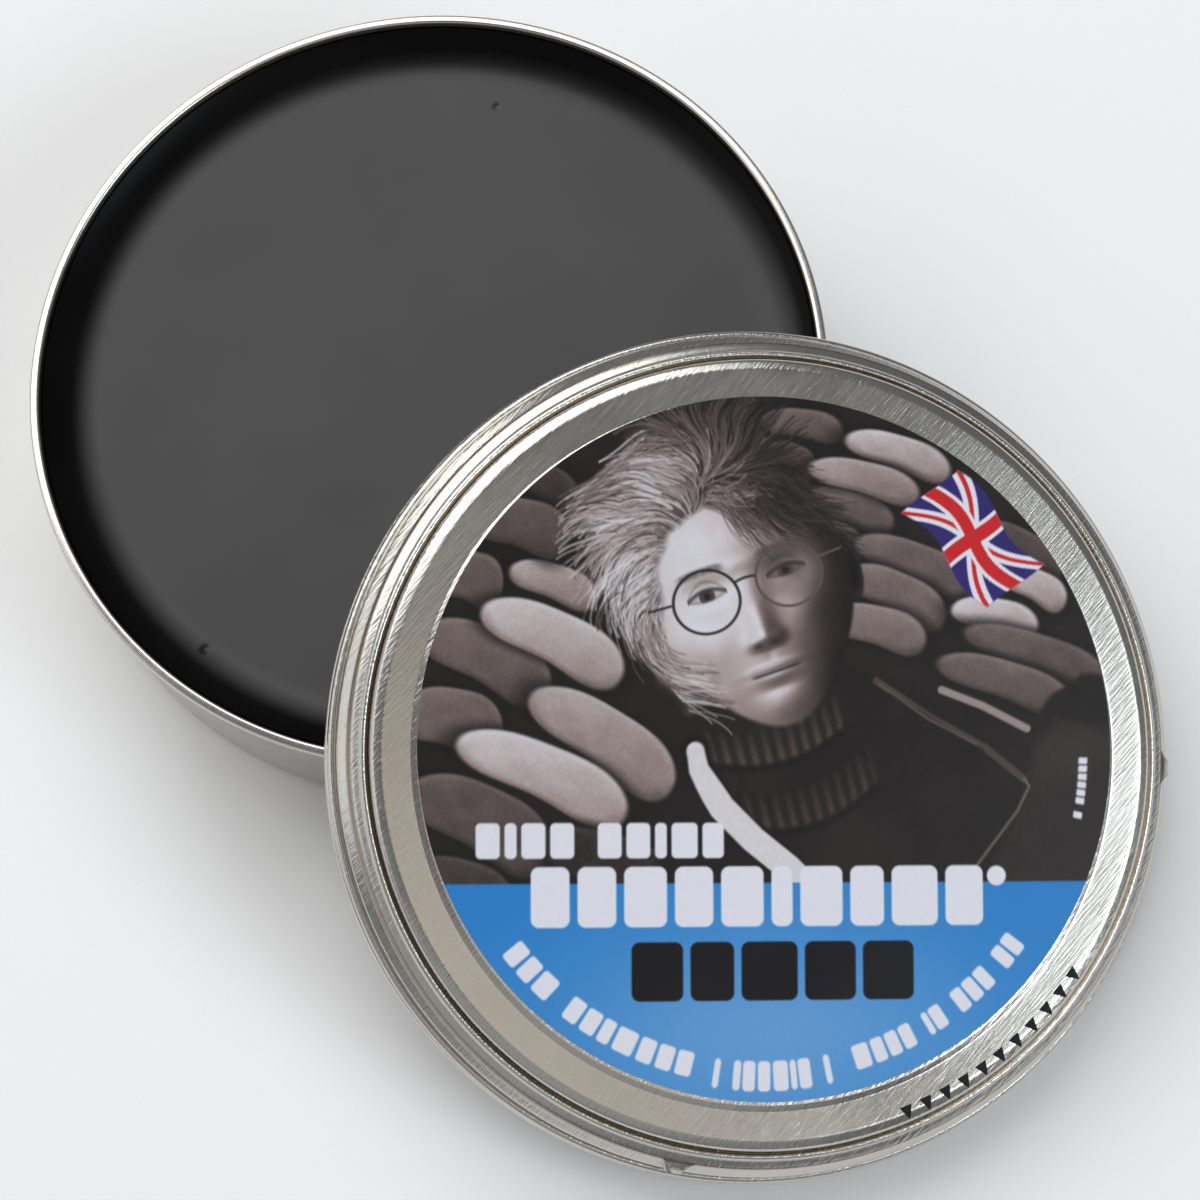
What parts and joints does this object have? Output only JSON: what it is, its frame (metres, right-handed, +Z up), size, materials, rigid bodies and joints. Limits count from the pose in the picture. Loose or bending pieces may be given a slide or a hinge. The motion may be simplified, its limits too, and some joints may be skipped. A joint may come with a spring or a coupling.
{
  "type": "shoe polish tin",
  "caption": "Round drawn tin full of hard wax polish, open, with its press-open lid leaning on the rolled rim.",
  "frame": {"origin": "centre of the footprint of the tin and its leaning lid, on the surface that both stand on", "axes": "+Z up, +Y from the lid towards the tin, X across, with X = 0 the mirror plane of the solids"},
  "size_m": [0.089, 0.1384, 0.0338],
  "materials": {
    "tinplate": "satin tinplate with fine rolling lines all in one direction",
    "wax": "hard black wax, satin, poured level",
    "print": "coated paper sticker, printed in sepia and blue",
    "paper": "plain coated paper sticker"
  },
  "bodies": {
    "tin": {"base_shell": "tinplate", "polish": "wax", "base_label": "paper"},
    "lid": {"lid_shell": "tinplate", "lid_label": "print"}
  },
  "joints": [
    {"name": "lid_lift", "type": "slide", "parent": "tin", "child": "lid", "axis": [0, 0, 1], "range_m": [0, 0.05]}
  ]
}
